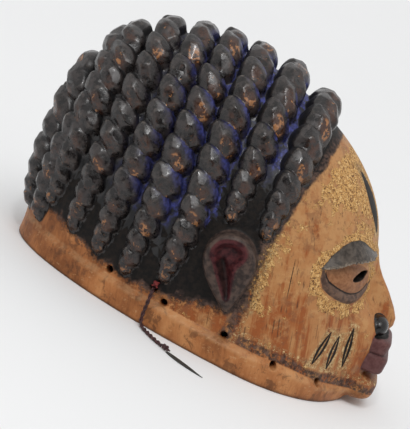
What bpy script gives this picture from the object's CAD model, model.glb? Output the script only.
"""A carved and painted helmet mask with a leather thong tied to each side of its rim.

The head is worked out as one solid: a plain dome, the raised band round its rim, the face, the ears
and the twisted locks are joined as distance fields, the hollow and the holes are cut from them, and
one closed skin is drawn over the result. Sizes are in millimetres, and X is counted forward from
the back tip of the rim, until a mesh is made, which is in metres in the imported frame.
"""

import logging
import math
from collections.abc import Callable
from dataclasses import dataclass, field
from enum import Enum
from itertools import product
from typing import ClassVar

import bpy
import numpy as np
from mathutils import Matrix, Vector


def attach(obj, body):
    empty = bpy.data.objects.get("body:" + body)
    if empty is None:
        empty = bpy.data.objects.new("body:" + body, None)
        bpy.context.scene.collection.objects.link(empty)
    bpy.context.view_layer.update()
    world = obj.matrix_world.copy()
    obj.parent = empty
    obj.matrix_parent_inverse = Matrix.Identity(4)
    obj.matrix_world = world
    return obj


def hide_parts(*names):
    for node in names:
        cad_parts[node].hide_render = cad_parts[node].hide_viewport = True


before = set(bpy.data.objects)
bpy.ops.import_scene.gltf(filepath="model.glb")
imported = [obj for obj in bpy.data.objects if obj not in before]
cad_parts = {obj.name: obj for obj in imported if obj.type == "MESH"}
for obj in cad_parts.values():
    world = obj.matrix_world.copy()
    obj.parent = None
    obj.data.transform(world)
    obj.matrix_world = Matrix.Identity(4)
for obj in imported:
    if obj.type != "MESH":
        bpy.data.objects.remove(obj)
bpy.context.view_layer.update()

LOG = logging.getLogger("mask")

Array = np.ndarray
Point = tuple[float, float, float]
Pair = tuple[float, float]
# A mesh as arrays: its corners, and its faces as corner numbers.
Skin = tuple[Array, Array]

MILLIMETRE = 0.001
BODY = "root"
RIM_BACK_TO_MIDDLE = 166.0
GRAIN_TILT = 17.0
# A direction that no line here starts along, and a number that keeps divisors from being 0.
ASKEW = (0.31, 0.22, 0.92)
TINY = 1e-6


def mix(a: float | Array, b: float | Array, t: float | Array) -> float | Array:
    """Return the value a part t of the way from a to b."""
    return a + (b - a) * t


def smoothstep(low: float, high: float, value: float | Array) -> Array:
    """Return a smooth rise from 0 where a value is low to 1 where it is high."""
    t = np.clip((value - low) / (high - low), 0.0, 1.0)
    return t * t * (3.0 - 2.0 * t)


def soft_low(a: Array, b: Array, blend: float) -> Array:
    """Return the lower of two distance fields, with a fillet of some width where they meet."""
    t = np.clip(0.5 + 0.5 * (b - a) / blend, 0.0, 1.0)
    return mix(b, a, t) - blend * t * (1.0 - t)


def to_frame(points: Array) -> Array:
    """Return mask points, in millimetres from the rim's back tip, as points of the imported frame."""
    return (np.asarray(points, dtype=float) - (RIM_BACK_TO_MIDDLE, 0.0, 0.0)) * MILLIMETRE


def unit(vectors: Array) -> Array:
    """Return vectors made of length 1."""
    return vectors / np.linalg.norm(vectors, axis=-1, keepdims=True)


def run_along(points: Array) -> Array:
    """Return how far each point lies along the line through the points."""
    return np.concatenate([[0.0], np.cumsum(np.linalg.norm(np.diff(points, axis=0), axis=1))])


def added(name: str, data: bpy.types.ID) -> bpy.types.Object:
    """Make an object, and put it in the scene."""
    made = bpy.data.objects.new(name, data)
    bpy.context.scene.collection.objects.link(made)
    return made


def numbers_of(items: bpy.types.bpy_prop_collection, name: str, width: int = 1) -> Array:
    """Return a property of a mesh's parts as an array, with a row of some width for each part."""
    values = np.empty(len(items) * width, dtype=np.float64 if name in ("co", "normal") else np.int32)
    items.foreach_get(name, values)
    return values.reshape(-1, width) if width > 1 else values


@dataclass
class HeadForm:
    """The plain dome of the head: egg-shaped level sections from the rim to the crown."""

    crown_height: float = 237.0
    crown_x: float = 125.0
    half_width: float = 106.0
    width_power: float = 2.8
    back_reach: float = 133.0
    back_power: float = 6.5
    back_root: float = 2.3
    front_reach: float = 182.0
    front_power: float = 4.2
    front_root: float = 1.5
    nape_tuck: float = 8.0
    nape_height: float = 45.0
    jaw_forward: float = 19.0
    jaw_height: float = 115.0
    widest_forward: float = 100.0
    heart: Point = (150.0, 0.0, 80.0)
    table_steps: int = 360
    farthest: float = 400.0
    halvings: int = 34
    normal_step: float = 0.8
    reach: Array = field(init=False, repr=False)
    slant: Array = field(init=False, repr=False)

    def __post_init__(self) -> None:
        """Work out how far the surface is from the heart in every direction."""
        turns = np.linspace(0.0, math.pi, self.table_steps + 1)
        down, round_ = np.meshgrid(turns, turns, indexing="ij")
        level = np.sin(down)
        rays = np.stack([level * np.cos(round_), -level * np.sin(round_), np.cos(down)], axis=-1)
        self.reach = self.cast(np.array(self.heart), rays)
        places = rays * self.reach[..., None]
        across = np.cross(np.gradient(places, axis=0), np.gradient(places, axis=1))
        normal = across / np.maximum(np.linalg.norm(across, axis=-1, keepdims=True), 1e-9)
        self.slant = np.clip(np.abs((normal * rays).sum(axis=-1)), 0.2, 1.0)
        self.slant[0], self.slant[-1] = self.slant[1], self.slant[-2]

    def rise(self, z: Array) -> Array:
        """Return heights as parts of the crown's height, from 0 to 1."""
        return np.clip(z / self.crown_height, 0.0, 1.0)

    def width_at(self, z: Array) -> Array:
        """Return half the dome's width at each height."""
        return self.half_width * np.sqrt(1.0 - self.rise(z) ** self.width_power)

    def back_at(self, z: Array) -> Array:
        """Return where the dome's back is at each height."""
        dome = (1.0 - self.rise(z) ** self.back_power) ** (1.0 / self.back_root)
        tuck = self.nape_tuck * np.exp(-((z / self.nape_height) ** 2))
        return self.crown_x - self.back_reach * dome + tuck

    def front_at(self, z: Array) -> Array:
        """Return where the dome's front is at each height."""
        dome = (1.0 - self.rise(z) ** self.front_power) ** (1.0 / self.front_root)
        jaw = self.jaw_forward * (1.0 - smoothstep(0.0, self.jaw_height, z))
        return self.crown_x + self.front_reach * dome + jaw

    def widest_at(self, z: Array) -> Array:
        """Return where the dome is widest at each height."""
        return self.crown_x + self.widest_forward * (1.0 - self.rise(z) ** 1.5)

    def level(self, x: Array, y: Array, z: Array) -> Array:
        """Return a number that is under 1 inside the dome and over 1 outside it."""
        middle = self.widest_at(z)
        reach = np.where(x > middle, self.front_at(z) - middle, middle - self.back_at(z))
        along = (x - middle) / np.maximum(reach, TINY)
        across = y / np.maximum(self.width_at(z), TINY)
        return np.where(z >= self.crown_height, 2.0, np.hypot(along, across))

    def cast(self, origin: Array, rays: Array) -> Array:
        """Return how far rays go before they leave the dome.

        Args:
            origin: Where the rays start, inside the dome.
            rays: Their directions, of length 1.

        Returns:
            The distances.
        """
        low = np.zeros(np.broadcast_shapes(origin.shape, rays.shape)[:-1])
        high = np.full_like(low, self.farthest)
        for _ in range(self.halvings):
            middle = (low + high) / 2.0
            p = origin + rays * middle[..., None]
            inside = self.level(p[..., 0], p[..., 1], p[..., 2]) < 1.0
            low = np.where(inside, middle, low)
            high = np.where(inside, high, middle)
        return low

    def distance(self, x: Array, y: Array, z: Array) -> Array:
        """Return how far points are from the dome's surface, negative inside.

        Args:
            x: Places along the mask.
            y: Places across it.
            z: Heights.

        Returns:
            The distances, negative inside.
        """
        dx, dy, dz = x - self.heart[0], np.abs(y), z - self.heart[2]
        far = np.sqrt(dx * dx + dy * dy + dz * dz) + TINY
        last = self.table_steps - 1e-3
        row = np.clip(np.arccos(np.clip(dz / far, -1.0, 1.0)) / math.pi * self.table_steps, 0, last)
        column = np.clip(np.arctan2(dy, dx) / math.pi * self.table_steps, 0, last)
        r, c = row.astype(np.int32), column.astype(np.int32)
        fr, fc = row - r, column - c

        def sample(table: Array) -> Array:
            """Return a table's values between its steps."""
            upper = mix(table[r, c], table[r, c + 1], fc)
            lower = mix(table[r + 1, c], table[r + 1, c + 1], fc)
            return mix(upper, lower, fr)

        return (far - sample(self.reach)) * sample(self.slant)

    def normals(self, points: Array) -> Array:
        """Return the outward directions of the dome's surface near points."""
        steps = np.eye(3) * self.normal_step
        sides = [self.distance(*(points + step).T) - self.distance(*(points - step).T) for step in steps]
        return unit(np.stack(sides, axis=-1))

    def on_surface(self, points: Array) -> Array:
        """Return points moved straight onto the dome's surface."""
        return points - self.normals(points) * self.distance(*points.T)[:, None]

    def side_point(self, x: float, z: float) -> Array:
        """Return the point of the near side's surface at x and z."""
        across = np.array([0.0, -1.0, 0.0])
        origin = np.array([x, 0.0, z])
        return origin + across * self.cast(origin, across[None])[0]


HEAD = HeadForm()


@dataclass
class Box:
    """A box of space, between its lowest and highest corners."""

    low: Array
    high: Array

    @classmethod
    def around(cls, points: Array, reach: float | Point) -> "Box":
        """Return the box around one point or many that leaves so much room on every side."""
        points = np.atleast_2d(points)
        return cls(points.min(axis=0) - reach, points.max(axis=0) + reach)


@dataclass
class Band:
    """The raised band round the rim, with a bevel above it. It fades out at the very back."""

    head: HeadForm
    height: float = 19.5
    front_height: float = 11.0
    bevel: float = 4.5
    proud: float = 6.0
    front_proud: float = 2.5

    def height_at(self, forward: Array) -> Array:
        """Return the band's height, from the cosine of the angle that points have from the front."""
        return mix(self.height, self.front_height, smoothstep(0.35, 1.0, forward))

    def outline(self, x: Array, y: Array) -> tuple[Array, Array]:
        """Return the distances from the band's outline, and how far forward points lie.

        Args:
            x: Places along the mask.
            y: Places across it.

        Returns:
            The distance of each point, negative inside, and the cosine of its angle.
        """
        zero = np.zeros(1)
        middle = float(self.head.widest_at(zero)[0])
        front = float(self.head.front_at(zero)[0]) - middle + self.front_proud
        back = middle - float(self.head.back_at(zero)[0])
        wide = self.head.half_width + self.proud
        reach = np.where(x > middle, front, back)
        along, across = (x - middle) / reach, y / wide
        level = np.hypot(along, across)
        slope = np.hypot(along / reach, across / wide)
        return level * (level - 1.0) / np.maximum(slope, TINY), along / np.maximum(level, TINY)

    def ledge_height(self, x: Array, y: Array) -> Array:
        """Return the height at which the bevel meets the wall, beside each point."""
        return self.height_at(self.outline(x, y)[1]) + self.bevel

    def distance(self, x: Array, y: Array, z: Array) -> Array:
        """Return how far points are from the band, negative inside."""
        out, forward = self.outline(x, y)
        top = (z - self.height_at(forward) + out * self.bevel / self.proud) * 0.8
        return np.maximum(out, top)


@dataclass
class Form:
    """A form that is joined to the head or cut from it."""

    def box(self) -> Box:
        """Return the box that holds the form, with room for its fillet."""
        raise NotImplementedError

    def distance(self, x: Array, y: Array, z: Array) -> Array:
        """Return how far points are from the form's surface, negative inside."""
        raise NotImplementedError


@dataclass
class Placed(Form):
    """A form round a centre, on axes of its own or on the mask's."""

    centre: Point | Array
    radii: Point
    axes: Array | None = None
    room: ClassVar[float] = 12.0

    def box(self) -> Box:
        """Return the box that holds the form."""
        return Box.around(self.centre, max(self.radii) + self.room)

    def local(self, x: Array, y: Array, z: Array) -> tuple[Array, Array, Array]:
        """Return points along the form's own three axes, from its centre."""
        dx, dy, dz = x - self.centre[0], y - self.centre[1], z - self.centre[2]
        if self.axes is None:
            return dx, dy, dz
        return tuple(dx * a[0] + dy * a[1] + dz * a[2] for a in self.axes)


@dataclass
class Round(Placed):
    """An ellipsoid, or a rounded block where its squareness is over 2."""

    squareness: float = 2.0

    def distance(self, x: Array, y: Array, z: Array) -> Array:
        """Return distances from the form's surface."""
        power = self.squareness
        parts = [np.abs(p) / r for p, r in zip(self.local(x, y, z), self.radii)]
        level = np.maximum(sum(part**power for part in parts), 1e-9) ** (1.0 / power)
        slope = np.sqrt(sum((part ** (power - 1.0) / r) ** 2 for part, r in zip(parts, self.radii)))
        return (level - 1.0) * level ** (power - 1.0) / np.maximum(slope, TINY)


@dataclass
class Tube(Form):
    """A tube of changing radius along points."""

    points: Array
    radii: Array
    room: float = 8.0

    def box(self) -> Box:
        """Return the box that holds the form."""
        return Box.around(self.points, float(self.radii.max()) + self.room)

    def distance(self, x: Array, y: Array, z: Array) -> Array:
        """Return distances from the form's surface.

        Args:
            x: Places along the mask.
            y: Places across it.
            z: Heights.

        Returns:
            The distances, negative inside.
        """
        best = np.full(np.broadcast_shapes(x.shape, y.shape, z.shape), 1e3, dtype=np.float32)
        for k in range(len(self.points) - 1):
            start, step = self.points[k], self.points[k + 1] - self.points[k]
            dx, dy, dz = x - start[0], y - start[1], z - start[2]
            t = np.clip((dx * step[0] + dy * step[1] + dz * step[2]) / (step @ step), 0.0, 1.0)
            far = np.sqrt((dx - t * step[0]) ** 2 + (dy - t * step[1]) ** 2 + (dz - t * step[2]) ** 2)
            best = np.minimum(best, far - mix(self.radii[k], self.radii[k + 1], t))
        return best


@dataclass
class Nose(Form):
    """The nose, as level sections from under its tip up to its root between the brows."""

    # Height, front and half width of each section, from the lowest up.
    sections: tuple[Point, ...] = (
        (66.5, 331.0, 12.0), (71.0, 338.5, 14.5), (77.0, 341.0, 14.5),
        (84.0, 339.8, 13.5), (92.0, 334.0, 11.5), (103.0, 323.5, 9.8),
        (113.0, 312.0, 8.6), (122.0, 303.5, 8.4), (131.0, 296.0, 6.0),
    )
    root: float = 285.0
    roundness: float = 0.8
    space: tuple[Point, Point] = ((280.0, -26.0, 58.5), (352.0, 26.0, 143.0))

    def box(self) -> Box:
        """Return the box that holds the form."""
        return Box(*np.array(self.space))

    def distance(self, x: Array, y: Array, z: Array) -> Array:
        """Return distances from the form's surface.

        Args:
            x: Places along the mask.
            y: Places across it.
            z: Heights.

        Returns:
            The distances, negative inside.
        """
        heights, fronts, halves = np.array(self.sections).T
        front, half = np.interp(z, heights, fronts), np.interp(z, heights, halves)
        forward = np.maximum(x - self.root, 0.0) / (front - self.root)
        level = np.sqrt(forward ** (2.0 / self.roundness) + (y / half) ** 2)
        side = (level - 1.0) * half * 0.95
        return np.maximum(side, np.maximum(heights[0] - z, z - heights[-1]))


@dataclass
class Ear(Form):
    """An ear, as a shell with a broad top and its point down, hollowed towards the front."""

    head: HeadForm
    x: float = 184.5
    z: float = 80.0
    height: float = 69.0
    width: float = 46.0
    lean: float = 22.0
    proud: float = 14.0
    lip: float = 6.0
    room: Point = (44.0, 26.0, 52.0)

    def __post_init__(self) -> None:
        """Find where the ear stands on the head."""
        self.base = self.head.side_point(self.x, self.z)

    def box(self) -> Box:
        """Return the box that holds the form."""
        return Box.around(self.base, self.room)

    def outline(self, x: Array, z: Array) -> tuple[Array, Array, Array]:
        """Return the distance from the ear's outline, and places along and across the ear.

        Args:
            x: Places along the mask.
            z: Heights.

        Returns:
            The distance of each point, negative inside, then its place across the ear and up it.
        """
        turn = math.radians(self.lean)
        dx, dz = x - self.base[0], z - self.base[2]
        across = dx * math.cos(turn) + dz * math.sin(turn)
        up = dz * math.cos(turn) - dx * math.sin(turn) - 0.1 * self.height
        reach = np.where(up > 0, 0.38, 0.62) * self.height
        fall = np.clip(-up / reach, 0.0, 1.0)
        half = 0.5 * self.width * (1.0 - 0.62 * fall**1.5)
        level = np.hypot(across / half, up / reach)
        return (level - 1.0) * half, across, up

    def distance(self, x: Array, y: Array, z: Array) -> Array:
        """Return distances from the form's surface.

        Args:
            x: Places along the mask.
            y: Places across it.
            z: Heights.

        Returns:
            The distances, negative inside.
        """
        edge, _, up = self.outline(x, z)
        out = -(y - self.base[1]) - self.proud - 2.0 * smoothstep(0.0, 25.0, up)
        root = (y - self.base[1]) - 12.0
        corner = np.hypot(np.maximum(edge + self.lip, 0.0), np.maximum(out + self.lip, 0.0))
        inner = np.minimum(np.maximum(edge + self.lip, out + self.lip), 0.0)
        return np.maximum(corner + inner - self.lip, root)


def tapered_distance(x: Array, z: Array, ends: tuple[Point, Point]) -> Array:
    """Return the distance from a flat shape that tapers from one round end to the other.

    Args:
        x: Places across.
        z: Places up.
        ends: The middle and radius of each end.

    Returns:
        The distance of each point, negative inside.
    """
    (x0, z0, r0), (x1, z1, r1) = ends
    dx, dz = x1 - x0, z1 - z0
    t = np.clip(((x - x0) * dx + (z - z0) * dz) / (dx * dx + dz * dz), 0.0, 1.0)
    return np.hypot(x - x0 - t * dx, z - z0 - t * dz) - mix(r0, r1, t)


@dataclass
class EarHollow(Form):
    """The hollow of an ear: a bowl below the thick upper rim, and a tail with a deep cut to the lobe."""

    ear: Ear
    bowl_middle: Pair = (-1.0, 8.0)
    bowl_radii: Pair = (18.0, 13.0)
    tail: tuple[Point, Point] = ((-2.5, 3.0, 11.5), (1.0, -28.0, 3.6))
    cut: tuple[Point, Point] = ((-7.5, -1.0, 3.6), (-0.4, -30.0, 1.2))
    depth: float = 9.0
    cut_depth: float = 4.5

    def box(self) -> Box:
        """Return the box that holds the form."""
        return self.ear.box()

    def cut_distance(self, x: Array, z: Array) -> Array:
        """Return how far points are from the deep cut, seen from the side."""
        _, across, up = self.ear.outline(x, z)
        return tapered_distance(across, up, self.cut)

    def distance(self, x: Array, y: Array, z: Array) -> Array:
        """Return distances from the form's surface.

        Args:
            x: Places along the mask.
            y: Places across it.
            z: Heights.

        Returns:
            The distances, negative inside.
        """
        _, across, up = self.ear.outline(x, z)
        out = -(y - self.ear.base[1])
        dx, dz = across - self.bowl_middle[0], up - self.bowl_middle[1]
        bowl = (np.hypot(dx / self.bowl_radii[0], dz / self.bowl_radii[1]) - 1.0) * self.bowl_radii[1]
        edge = soft_low(bowl, tapered_distance(across, up, self.tail), 4.0)
        cut = tapered_distance(across, up, self.cut)
        slope = self.depth * smoothstep(0.0, 9.0, -edge) + self.cut_depth * smoothstep(4.0, -2.5, cut)
        floor = self.ear.proud + 2.0 - slope
        return np.maximum(np.minimum(edge, cut), floor - out) * 0.8


@dataclass
class Lump(Placed):
    """One lump of a twisted lock: a leaf-shaped mound whose upper end stands over the next one."""

    distance_along: float = 0.0
    lock: int = 0
    order: int = 0
    room: ClassVar[float] = 3.0
    point: float = 1.62
    blunt: float = 2.0
    flatness: float = 2.3
    # The flat knife cuts: the way each one faces along the axes, and its share of the lump's reach.
    cuts: tuple[tuple[Point, float], ...] = (
        ((0.10, 0.00, 1.00), 0.90),
        ((0.14, 0.66, 0.74), 0.89),
        ((0.14, -0.66, 0.74), 0.89),
        ((0.60, 0.36, 0.71), 0.90),
        ((0.60, -0.36, 0.71), 0.90),
        ((-0.52, 0.10, 0.85), 0.91),
    )
    cut_tilt: float = 0.07
    cut_spread: float = 0.015

    def distance(self, x: Array, y: Array, z: Array) -> Array:
        """Return distances from the form's surface.

        Args:
            x: Places along the mask.
            y: Places across it.
            z: Heights.

        Returns:
            The distances, negative inside.
        """
        u, v, w = self.local(x, y, z)
        a, b, c = self.radii
        power = mix(self.blunt, self.point, smoothstep(-0.2, 0.5, u / a))
        flat = ((np.abs(u) / a) ** power + (np.abs(v) / b) ** power) ** (1.0 / power)
        level = (flat**self.flatness + (np.abs(w) / c) ** self.flatness) ** (1.0 / self.flatness)
        plain = np.sqrt((u / a) ** 2 + (v / b) ** 2 + (w / c) ** 2)
        slope = np.sqrt((u / a**2) ** 2 + (v / b**2) ** 2 + (w / c**2) ** 2)
        carved = (level - 1.0) * plain / np.maximum(slope, TINY)
        random = np.random.default_rng(1000 * self.lock + self.order)
        for facing, share in self.cuts:
            n = unit(np.array(facing) + random.normal(0.0, self.cut_tilt, 3))
            reach = float(np.linalg.norm(n * self.radii)) * (share + random.normal(0.0, self.cut_spread))
            carved = np.maximum(carved, u * n[0] + v * n[1] + w * n[2] - reach)
        return carved


class LockPath:
    """The line of a lock on the head, from its near tip to the middle plane."""

    def __init__(self, head: HeadForm, points: Array) -> None:
        """Measure the line.

        Args:
            head: The dome that the lock lies on.
            points: Points of the line, the last of them on the middle plane.
        """
        self.points = points
        self.normals = head.normals(points)
        self.points[-1, 1] = 0.0
        self.normals[-1, 1] = 0.0
        self.distances = run_along(points)
        self.length = float(self.distances[-1])
        self.tangents = unit(np.gradient(points, axis=0))

    def frame(self, distance: float) -> tuple[Array, Array, Array, Array]:
        """Return the place, and the directions along, across and out, at a distance from the tip.

        Args:
            distance: How far from the tip.

        Returns:
            The place and the three directions.
        """

        def at(values: Array) -> Array:
            """Return one row between the rows of a table."""
            return np.array([np.interp(distance, self.distances, column) for column in values.T])

        place, along, out = at(self.points), at(self.tangents), unit(at(self.normals))
        along = unit(along - out * (along @ out))
        return place, along, np.cross(along, out), out


@dataclass
class Locks:
    """The hair: locks that cross the crown from side to side, and arches at the back."""

    head: HeadForm
    fill: float = 0.45
    tip_radius: float = 6.2
    taper_length: float = 80.0
    taper_power: float = 0.52
    pitch_over_radius: float = 1.74
    slant: float = 35.0
    tuck: float = 28.0
    length_over_pitch: float = 0.88
    lift: float = 3.0
    # Where each lock crosses the middle plane, where it runs down the side, and its tip's height.
    crown_locks: tuple[Point, ...] = (
        (21.0, 18.0, 34.0), (46.0, 45.0, 33.0), (73.0, 74.0, 33.0), (99.0, 104.0, 33.0),
        (127.0, 136.0, 48.0), (159.0, 166.0, 128.0), (194.0, 198.0, 128.0),
    )
    # Half the width of each arch, the height of its top and of its tips, and its thickness.
    back_locks: tuple[tuple[float, float, float, float], ...] = (
        (15.5, 163.0, 35.0, 13.5),
        (43.0, 196.0, 34.0, 13.0),
    )
    pivot_height: float = 70.0
    path_steps: int = 90
    # How far from a tip a lock is not fully grown, and how far from the middle plane it straightens.
    growth: float = 45.0
    straightening: float = 30.0

    def line(self, x: Array, y: Array, z: Array, rays: Array) -> LockPath:
        """Return the line on the head that rays meet, from points inside it."""
        origin = np.stack(np.broadcast_arrays(x, y, z), axis=-1)
        return LockPath(self.head, origin + rays * self.head.cast(origin, rays)[:, None])

    def crown_path(self, crown: float, side: float, tip: float) -> LockPath:
        """Return the line of a lock that crosses the crown.

        Args:
            crown: Where it crosses the middle plane.
            side: Where it runs down the side.
            tip: How high its tip is.

        Returns:
            The line.
        """
        widest = math.pi / 2 + math.atan2(self.pivot_height - tip, self.head.half_width)
        angle = widest * (1.0 - np.arange(self.path_steps + 1) / self.path_steps)
        x = mix(crown, side, np.sin(np.minimum(angle, math.pi / 2)) ** 2)
        rays = np.stack([0.0 * x, -np.sin(angle), np.cos(angle)], axis=-1)
        return self.line(x, 0.0, self.pivot_height, rays)

    def back_path(self, half_width: float, top: float, tip: float) -> LockPath:
        """Return the line of an arch at the back of the head.

        Args:
            half_width: Half the width of the arch.
            top: How high its top is.
            tip: How high its tips are.

        Returns:
            The line.
        """
        shoulder = top - 1.35 * half_width
        leg, arch = shoulder - tip, 1.9 * half_width
        along = np.linspace(0.0, leg + arch, self.path_steps + 1)
        turn = (math.pi / 2) * np.clip((along - leg) / arch, 0.0, 1.0)
        y = -half_width * np.cos(turn) * np.where(along < leg, mix(0.9, 1.0, along / leg), 1.0)
        z = np.where(along < leg, tip + along, mix(shoulder, top, np.sin(turn)))
        return self.line(self.head.crown_x, y, z, np.tile((-1.0, 0.0, 0.0), (len(y), 1)))

    def nearest_gap(self, column: int, k: int) -> float:
        """Return how far it is from a lock to the nearer of its neighbours."""
        places = [lock[column] for lock in self.crown_locks]
        gaps = [abs(places[k] - places[j]) for j in (k - 1, k + 1) if 0 <= j < len(places)]
        return min(gaps)

    def radius(self, distance: float, full: float) -> float:
        """Return how thick a lock is at a distance from its tip, as a radius."""
        share = min(distance / self.taper_length, 1.0) ** self.taper_power
        return mix(self.tip_radius, full, share)

    def starts(self, length: float, full: float) -> Array:
        """Return where each lump's middle is along a lock, the last one on the middle plane.

        Args:
            length: The lock's length to the middle plane.
            full: Its full thickness, as a radius.

        Returns:
            The distances from the tip.
        """
        places, size = [0.0], self.pitch_over_radius * self.tip_radius
        while places[-1] < length - 0.3 * size:
            places.append(places[-1] + size)
            size = self.pitch_over_radius * self.radius(places[-1], full)
        return np.array(places) * length / places[-1]

    def lumps_of(self, path: LockPath, side: float, crown: float, lock: int) -> list[Lump]:
        """Return the lumps of the near half of a lock.

        Args:
            path: The lock's line.
            side: Its thickness on the side of the head, as a radius.
            crown: Its thickness at the middle plane, as a radius.
            lock: The lock's number.

        Returns:
            The lumps, from the tip up.
        """
        middles = self.starts(path.length, side)
        pitches = np.gradient(middles)
        random = np.random.default_rng(100 + lock)
        lumps = []
        for order, (s, pitch) in enumerate(zip(middles, pitches)):
            place, along, across, out = path.frame(s)
            full = mix(side, crown, float(smoothstep(0.4, 1.0, s / path.length)))
            radius = self.radius(s, full)
            near_middle = float(smoothstep(0.0, self.straightening, path.length - s))
            grown = float(smoothstep(0.0, self.growth, s))
            slant = math.radians(self.slant * mix(0.8, 1.0, grown) + random.normal(0.0, 3.0)) * near_middle
            tuck = math.radians(self.tuck + random.normal(0.0, 1.5)) * near_middle
            long_ = along * math.cos(slant) - across * math.sin(slant)
            wide = across * math.cos(slant) + along * math.sin(slant)
            raised = long_ * math.cos(tuck) + out * math.sin(tuck)
            outward = out * math.cos(tuck) - long_ * math.sin(tuck)
            half_length = pitch * self.length_over_pitch * mix(1.0, 1.08, random.random())
            radii = (
                max(half_length, radius * mix(0.96, 1.12, grown)),
                radius * mix(0.97, 1.05, random.random()),
                radius * mix(0.96, 1.05, random.random()),
            )
            lift = self.lift * mix(0.45, 1.0, grown)
            centre = place + out * (lift + random.normal(0.0, 0.3))
            centre = centre + across * random.normal(0.0, 0.4) * near_middle
            lumps.append(Lump(centre, radii, np.array([raised, wide, outward]), float(s), lock, order))
        return lumps

    def lumps(self) -> list[Lump]:
        """Return the lumps of the near half of every lock.

        Returns:
            The lumps, lock by lock.
        """
        made: list[Lump] = []
        for k, lock in enumerate(self.crown_locks):
            side = self.fill * self.nearest_gap(1, k)
            crown = self.fill * self.nearest_gap(0, k)
            made += self.lumps_of(self.crown_path(*lock), side, crown, k)
        for k, (half_width, top, tip, radius) in enumerate(self.back_locks):
            path = self.back_path(half_width, top, tip)
            made += self.lumps_of(path, radius, radius, len(self.crown_locks) + k)
        return made


@dataclass
class Eye:
    """The near eye: its lower lid, the ball between the lids, and the slanted slot in it."""

    head: HeadForm
    # Points of the lower lid from its outer corner to its inner one, each with the lid's radius.
    lid: tuple[tuple[float, float, float, float], ...] = (
        (258.0, -81.0, 111.5, 1.2), (261.5, -81.5, 105.0, 2.6),
        (266.5, -79.5, 99.8, 3.6), (273.0, -75.5, 97.4, 4.0),
        (280.0, -70.0, 95.4, 4.0), (286.5, -63.5, 93.9, 4.0),
        (292.0, -55.5, 93.2, 4.0), (296.5, -46.5, 94.4, 3.8),
        (300.0, -36.5, 97.6, 3.4), (302.2, -25.5, 101.8, 2.8),
        (303.5, -15.0, 107.0, 1.6),
    )
    lid_sunk: float = 1.2
    middle: Point = (287.5, -57.0, 108.0)
    outer_corner: Point = (260.0, -80.5, 111.0)
    inner_corner: Point = (303.0, -12.0, 110.0)
    slot_ends: tuple[Point, Point] = ((286.0, -56.0, 109.9), (297.4, -30.5, 117.0))
    slot_half_width: float = 3.3

    def __post_init__(self) -> None:
        """Find the eye's middle on the head, and the directions there."""
        self.centre = self.head.on_surface(np.array([self.middle]))[0]
        self.ways = self.axes(self.centre, np.subtract(self.inner_corner, self.outer_corner))

    def lower_lid(self) -> Tube:
        """Return the lower lid."""
        table = np.array(self.lid)
        points = self.head.on_surface(table[:, :3])
        return Tube(points - self.head.normals(points) * self.lid_sunk, table[:, 3])

    def axes(self, centre: Array, long_: Array) -> Array:
        """Return the directions out of the face, along the eye and up it, at a point."""
        out = self.head.normals(centre[None])[0]
        long_ = unit(long_ - out * (long_ @ out))
        return np.array([out, long_, np.cross(out, long_)])

    def socket(self) -> Round:
        """Return the shallow hollow that the ball lies in."""
        return Round(self.centre, (5.0, 35.0, 15.0), self.ways)

    def ball(self) -> Round:
        """Return the ball of the eye, which bulges between the lids."""
        return Round(self.centre - self.ways[0] * 12.0, (14.5, 34.0, 20.0), self.ways)

    def slot(self) -> Round:
        """Return the slanted slot that is cut through the ball."""
        start, end = np.array(self.slot_ends)
        centre = (start + end) / 2.0
        half = float(np.linalg.norm(end - start)) / 2.0
        return Round(centre, (60.0, half, self.slot_half_width), self.axes(centre, end - start))


@dataclass
class Visor(Form):
    """The brow and upper lid: a plane that slopes out from the forehead down to a jutting edge.

    Its places are angles round an upright line inside the head, in degrees from the front.
    """

    head: HeadForm
    pivot_x: float = 200.0
    # The height of the lower edge and of the upper one at each angle.
    lower: tuple[Pair, ...] = (
        (6.0, 131.0), (15.0, 130.0), (25.6, 128.8), (36.0, 126.6), (40.4, 125.2), (48.0, 119.0),
        (52.5, 114.0), (55.5, 112.0),
    )
    upper: tuple[Pair, ...] = (
        (6.0, 132.0), (13.0, 133.4), (20.0, 137.0), (28.0, 141.4), (33.0, 142.0), (40.0, 139.5),
        (45.0, 135.0), (52.0, 124.0), (55.5, 112.5),
    )
    # How far the lower edge stands out at each angle.
    proud: tuple[Pair, ...] = (
        (6.0, 3.0), (25.0, 7.5), (38.0, 9.0), (48.0, 8.0), (52.5, 5.0), (55.5, 0.5),
    )
    space: tuple[Point, Point] = ((248.0, -96.0, 104.0), (322.0, 0.0, 152.0))

    def box(self) -> Box:
        """Return the box that holds the form."""
        return Box(*np.array(self.space))

    def distance(self, x: Array, y: Array, z: Array) -> Array:
        """Return distances from the form's surface.

        Args:
            x: Places along the mask.
            y: Places across it.
            z: Heights.

        Returns:
            The distances, negative inside.
        """
        angle = np.degrees(np.arctan2(-y, x - self.pivot_x))
        low = np.interp(angle, *np.array(self.lower).T)
        high = np.interp(angle, *np.array(self.upper).T)
        proud = np.interp(angle, *np.array(self.proud).T)
        fall = np.clip((high - z) / np.maximum(high - low, 2.0), 0.0, 1.0)
        out = self.head.distance(x, y, z) - proud * fall
        sides = np.maximum(low - z, z - high) * 0.9
        past = np.maximum(self.lower[0][0] - angle, angle - self.lower[-1][0]) * 1.6
        return np.maximum(np.maximum(out, sides), past)


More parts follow.
